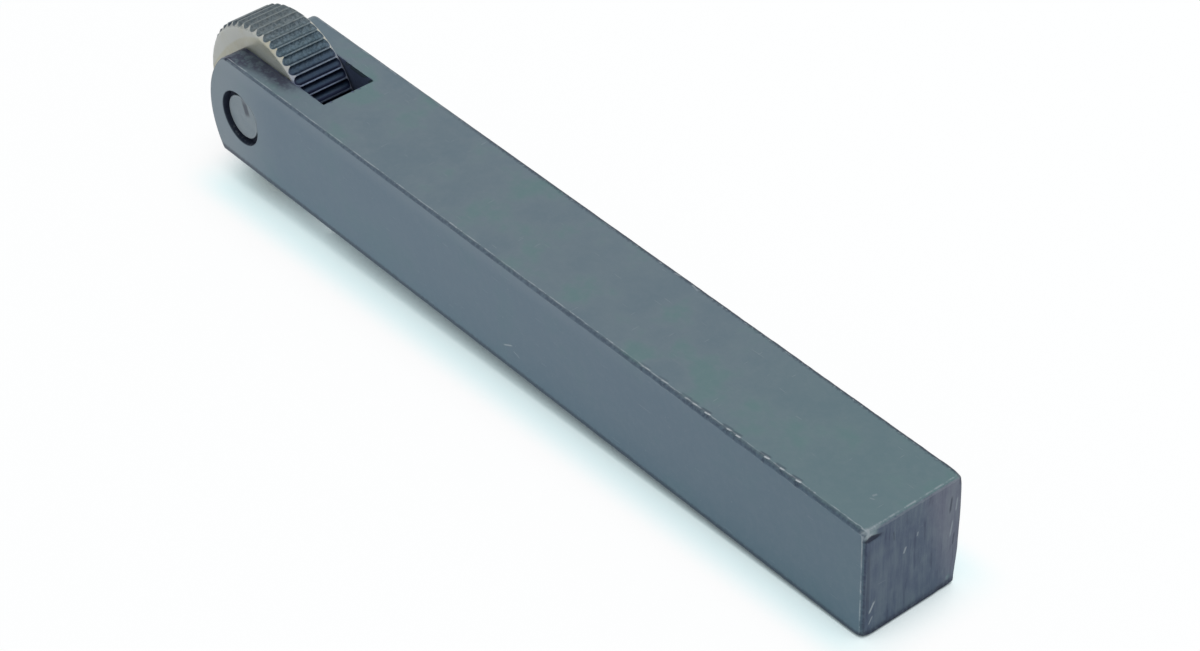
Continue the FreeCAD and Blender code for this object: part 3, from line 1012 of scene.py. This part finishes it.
def pin_steel(finishes):
    """Blackened steel of the pin: faint turned rings, a rubbed rim and a dark spot of painted
    shadow on its face.
    """
    material, s = new_material("pin_blackened_steel")
    plain = s.millimetres()
    x, _, z = s.axes(s.millimetres(shift=(-PIN_X, 0.0, -PIN_Z)))
    radius = (x * x + z * z) ** 0.5
    rings = s.noise(s.node("ShaderNodeCombineXYZ", {}, {0: radius}), 9.0, 2.0, 0.6)
    cloud = s.noise(plain, 0.7, 3.0, 0.55)
    grain = s.noise(plain, 12.0, 2.0, 0.6)
    arris, hollow = s.value("arris"), s.value("hollow")
    # a dark spot on the pin's face: painted shadow of the groove's wall
    painted_shadow = s.stroke((52.40, 5.55, 7.75), (-0.4, 0.0, -1.0), 1.5, 0.55) * 0.40
    painted_shadow = painted_shadow + s.stroke((52.25, 5.55, 7.30), (-0.3, 0.0, -1.0), 0.95, 0.60) * 0.35
    steel = s.coats(finishes.blacked, (
        (s.step(cloud, 0.35, 0.7), finishes.blacked_cool),
        (0.34 + 0.2 * s.step(rings, 0.45, 0.75), finishes.rubbed),
        (painted_shadow, finishes.soot_and_shade),
        (s.step(arris, 0.2, 0.9) * 0.45, finishes.rubbed),
        (hollow * 0.85, finishes.soot_and_shade),
    ))
    rough = 0.42 + 0.12 * (cloud - 0.5) + 0.2 * hollow
    s.metal(steel, rough, 0.6, s.bump(0.6 * rings + 0.4 * grain, 0.008, 0.6))
    return material


OILED_GROOVES = (0.62, 0.78, 0.90)
# multiplies the teeth that lie in the slot's painted shadow
SLOT_SHADE_TINT = (0.50, 0.56, 0.78)


def wheel_steel(finishes):
    """Hardened steel of the wheel: stained ground sides with painted reflection and light, dark
    grooves, bright lands.
    """
    material, s = new_material("wheel_tool_steel")
    plain = s.millimetres()
    x, _, z = s.axes(s.millimetres(shift=(-PIN_X, 0.0, -PIN_Z)))
    radius = (x * x + z * z) ** 0.5
    land, sunk, face = s.value("land"), s.value("sunk"), s.value("face")
    cloud = s.noise(plain, 0.35, 3.0, 0.55)
    small = s.noise(plain, 2.2, 4.0, 0.6)
    mottle = s.noise(plain, 3.4, 4.0, 0.7)
    grain = s.noise(plain, 11.0, 3.0, 0.6)
    ground = s.noise(s.millimetres((0.25, 1.0, 3.2), (0.0, 0.6, 0.0)), 5.0, 3.0, 0.6)

    # a curved line over the sides bounds a darker, yellower painted reflection of the cheek below
    # it;
    # towards the slot the sides are lifted by painted light
    line = 9.3 - 0.06 * (x + 3.05) * (x + 3.05) - z
    cheek_reflection = s.step(line, -0.25, 0.15) * (0.65 + 0.35 * s.step(small, 0.35, 0.65))
    painted_light_zone = s.step(z, 8.9, 6.8) * s.step(x, 4.0, -2.5)
    side = s.coats(finishes.ground, (
        (cheek_reflection * 0.9, finishes.stain_and_reflection),
        (s.step(cloud, 0.50, 0.72) * 0.35, finishes.stain_and_reflection),
        # painted light lifts the wheel side where the cheek shades it
        (painted_light_zone * 0.60, finishes.wheel_side_light),
    ))
    # dirt lies along both walls of a groove; grease dulls the lands on one part of the rim
    walls = s.step(sunk, 0.05, 0.35) * s.step(sunk, 0.98, 0.75)
    greased = s.step(z + 0.8 * (cloud - 0.5), 6.2, 8.2) * s.step(x, 6.0, 3.0)
    teeth = s.coats(finishes.teeth, (
        (s.step(small, 0.35, 0.65), finishes.teeth_warm),
        (walls * (0.75 - 0.50 * greased) + 0.16 * (1 - greased), finishes.soot_and_shade),
        (greased * s.step(mottle, 0.40, 0.62) * 0.38, finishes.rubbed),
        (s.step(mottle, 0.50, 0.30) * 0.22, finishes.soot_and_shade),
    ))
    teeth = s.mix(s.step(x, 1.0, -4.0), teeth, OILED_GROOVES, "MULTIPLY")
    bright = s.step(land, 0.25, 0.9) * (0.62 + 0.38 * s.step(small, 0.3, 0.6))
    bright = bright * (1 - 0.74 * greased * (1 - s.step(face, 0.1, 0.4)))
    teeth = s.mix(bright * 0.80, teeth, finishes.land)
    # low on the rim, behind the slot's edge, painted shadow of the slot darkens the teeth to a dull
    # blue, and towards the nose dirt clouds the rim
    rim = s.step(radius, 8.92, 9.06)
    dull = s.step(z + 0.5 * (small - 0.5), 8.8, 6.2) * s.step(x, -3.2, -5.6) * rim
    grime = rim * s.step(x, -1.5, 2.5) * s.step(mottle, 0.35, 0.6)
    steel = s.mix(s.step(face, 0.05, 0.5), teeth, side)
    steel = s.mix(dull, steel, SLOT_SHADE_TINT, "MULTIPLY")
    steel = s.mix(grime * 0.6, steel, finishes.teeth)
    rough = 0.42 - 0.06 * bright + 0.10 * (small - 0.5) - 0.10 * s.step(face, 0.2, 0.9)
    relief = 0.5 * grain + 0.7 * ground * face + 0.4 * small
    s.metal(steel, rough, 0.7 - 0.50 * s.step(face, 0.2, 0.8), s.bump(relief, 0.01, 0.6))
    return material


# Operators

class KNURL_OT_holder(bpy.types.Operator):
    """Build the holder: shank, forked head, groove and stake round the pin"""

    bl_idname = "knurling.holder"
    bl_label = "Holder"

    def execute(self, context):
        made = build_holder(context.scene.knurl_holder)
        made.data.materials.append(holder_steel(context.scene.knurl_finishes))
        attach(made, "holder")
        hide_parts("holder")
        return {"FINISHED"}


class KNURL_OT_pin(bpy.types.Operator):
    """Build the axle pin that the cheeks hold"""

    bl_idname = "knurling.axle_pin"
    bl_label = "Axle pin"

    def execute(self, context):
        made = build_pin()
        made.data.materials.append(pin_steel(context.scene.knurl_finishes))
        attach(made, "holder")
        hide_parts("axle_pin")
        return {"FINISHED"}


class KNURL_OT_wheel(bpy.types.Operator):
    """Build the knurl wheel with its straight teeth"""

    bl_idname = "knurling.wheel"
    bl_label = "Knurl wheel"

    def execute(self, context):
        made = build_wheel(context.scene.knurl_wheel)
        made.data.materials.append(wheel_steel(context.scene.knurl_finishes))
        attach(made, "wheel")
        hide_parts("knurl_wheel")
        return {"FINISHED"}


class KNURL_OT_stage(bpy.types.Operator):
    """Build the studio: white floor, soft light and the camera"""

    bl_idname = "knurling.stage"
    bl_label = "Studio"

    def execute(self, context):
        scene = context.scene
        make_floor(scene)
        make_light(scene)
        make_camera(scene)
        scene.view_settings.view_transform = "Standard"
        return {"FINISHED"}


def resting_tilt(scene):
    """The tool rests on the wheel and on the tail's lower edge. The floor is the common
    tangent of those two circles: sin(tilt + slope) = difference of radii / distance, where
    slope is the angle of the line between their centres."""
    corner = scene.knurl_holder.end_break
    wheel = (wheel_high.x - wheel_low.x) / 2
    run = pin_axis[0] - (holder_low.x + corner)
    rise = pin_axis[2] - corner
    slope = math.atan2(rise, run)
    tilt = math.asin((wheel - corner) / math.hypot(run, rise)) - slope
    normal = Vector((math.sin(tilt), 0.0, math.cos(tilt)))
    foot = Vector((holder_low.x + corner, 0.0, corner)) - normal * corner
    return normal, foot


PAPER_GLOW = 0.88
SHADOW_REACH = 9.0 * MM
FLOOR_REACH = 1.5
FLOOR_LINES = 13
WHITE = (1.0, 1.0, 1.0)
PAPER_CAST = (0.80, 0.98, 1.0)
SKY_LOW = (0.22, 0.27, 0.29)
SKY_HIGH = (0.32, 0.37, 0.39)


def backdrop_ray(s):
    """1 for rays from the camera and for reflections, which both see a plain white backdrop."""
    camera, glossy, through = (
        s.node("ShaderNodeLightPath", output=name)
        for name in ("Is Camera Ray", "Is Glossy Ray", "Is Transmission Ray")
    )
    return s.math("MINIMUM", camera + glossy + through, 1.0)


def make_floor(scene):
    """A wide flat floor: foot + u * along + v * across, u and v from -1.5 m to 1.5 m."""
    normal, foot = resting_tilt(scene)
    along = np.array(Vector((normal.z, 0.0, -normal.x)))
    lines = np.linspace(-FLOOR_REACH, FLOOR_REACH, FLOOR_LINES)
    u, v = np.meshgrid(lines, lines, indexing="ij")
    points = np.array(foot) + u[..., None] * along + v[..., None] * np.array([0.0, 1.0, 0.0])
    index = np.arange(u.size).reshape(u.shape)
    corners = (index[:-1, :-1], index[1:, :-1], index[1:, 1:], index[:-1, 1:])
    faces = np.stack([c.ravel() for c in corners], axis=1)
    mesh = bpy.data.meshes.new("studio_floor")
    mesh.from_pydata(points.reshape(-1, 3).tolist(), [], faces.tolist())
    floor = bpy.data.objects.new("studio_floor", mesh)
    scene.collection.objects.link(floor)
    material, s = new_material("studio_white")
    seen = backdrop_ray(s)
    x, y, _ = s.axes(s.millimetres())
    # a painted cyan tint on the paper beside the tool, the colour of the shade there
    beside = s.step(abs(y), 10.6, 6.8) * s.step(abs(x - 8.0), 54.0, 46.0)
    cast = s.mix(beside, WHITE, PAPER_CAST)
    paper = s.mix(seen, tuple(scene.knurl_finishes.floor), (0.97, 0.985, 1.0))
    matt = s.node("ShaderNodeBsdfDiffuse", {}, {"Color": paper})
    glow = s.node("ShaderNodeEmission", {}, {"Color": cast, "Strength": 1.0})
    # close to the tool the paper shows its shadow in full
    clear = s.node(
        "ShaderNodeAmbientOcclusion", {"samples": 8}, {"Distance": SHADOW_REACH}, output=1
    )
    white = seen * PAPER_GLOW * s.step(clear, 0.12, 0.80)
    s.finish(s.node("ShaderNodeMixShader", {}, {0: white, 1: matt, 2: glow}))
    mesh.materials.append(material)


LAMP_PLACE = Vector((0.03, -0.08, 0.72))


def make_light(scene):
    """A white sky that is dimmer near the horizon, and one wide lamp above and behind."""
    world = bpy.data.worlds.new("studio_sky")
    world.use_nodes = True
    scene.world = world
    s = Shader(world.node_tree)
    seen = backdrop_ray(s)
    height = s.axes(s.node("ShaderNodeTexCoord", output=3))[2]
    sky = s.mix(s.step(height, 0.0, 0.8), SKY_LOW, SKY_HIGH)
    sky = s.mix(seen, sky, WHITE)
    s.finish(s.node("ShaderNodeBackground", {}, {"Color": sky}), "ShaderNodeOutputWorld")
    lamp = bpy.data.lights.new("softbox", "AREA")
    lamp.shape = "DISK"
    lamp.size = 0.50
    lamp.color = (1.0, 0.985, 0.965)
    lamp.energy = 3.8
    made = bpy.data.objects.new("softbox", lamp)
    made.visible_glossy = False
    made.location = LAMP_PLACE
    made.rotation_euler = (-LAMP_PLACE).to_track_quat("-Z", "Y").to_euler()
    scene.collection.objects.link(made)


def make_camera(scene):
    """The photograph's camera, from its own named place, turn and lens."""
    studio = scene.knurl_studio
    camera = bpy.data.cameras.new("photo_camera")
    camera.lens = studio.lens
    camera.sensor_fit = "HORIZONTAL"
    camera.sensor_width = 36.0
    camera.clip_start = 0.01
    made = bpy.data.objects.new("photo_camera", camera)
    made.location = studio.eye
    made.rotation_euler = Euler(studio.turn, "XYZ")
    scene.collection.objects.link(made)
    scene.camera = made


class KNURL_PT_panel(bpy.types.Panel):
    """Sizes, finishes and build steps of the knurling tool"""

    bl_label = "Knurling tool"
    bl_space_type = "VIEW_3D"
    bl_region_type = "UI"
    bl_category = "Knurling tool"

    def draw(self, context):
        layout = self.layout
        for group in GROUPS:
            box = layout.box()
            settings = getattr(context.scene, group)
            for name in GROUPS[group].__annotations__:
                box.prop(settings, name)
        for step in STEPS:
            layout.operator(step.bl_idname)


GROUPS = {
    "knurl_holder": HolderSizes,
    "knurl_wheel": WheelSizes,
    "knurl_finishes": Finishes,
    "knurl_studio": Studio,
}
STEPS = (KNURL_OT_stage, KNURL_OT_holder, KNURL_OT_pin, KNURL_OT_wheel)


def register():
    for made in (*GROUPS.values(), *STEPS, KNURL_PT_panel):
        bpy.utils.register_class(made)
    for name, group in GROUPS.items():
        setattr(bpy.types.Scene, name, bpy.props.PointerProperty(type=group))


def unregister():
    for name in GROUPS:
        delattr(bpy.types.Scene, name)
    for made in reversed((*GROUPS.values(), *STEPS, KNURL_PT_panel)):
        bpy.utils.unregister_class(made)


def main():
    register()
    bpy.ops.knurling.stage()
    bpy.ops.knurling.holder()
    bpy.ops.knurling.axle_pin()
    bpy.ops.knurling.wheel()


if __name__ == "__main__":
    main()
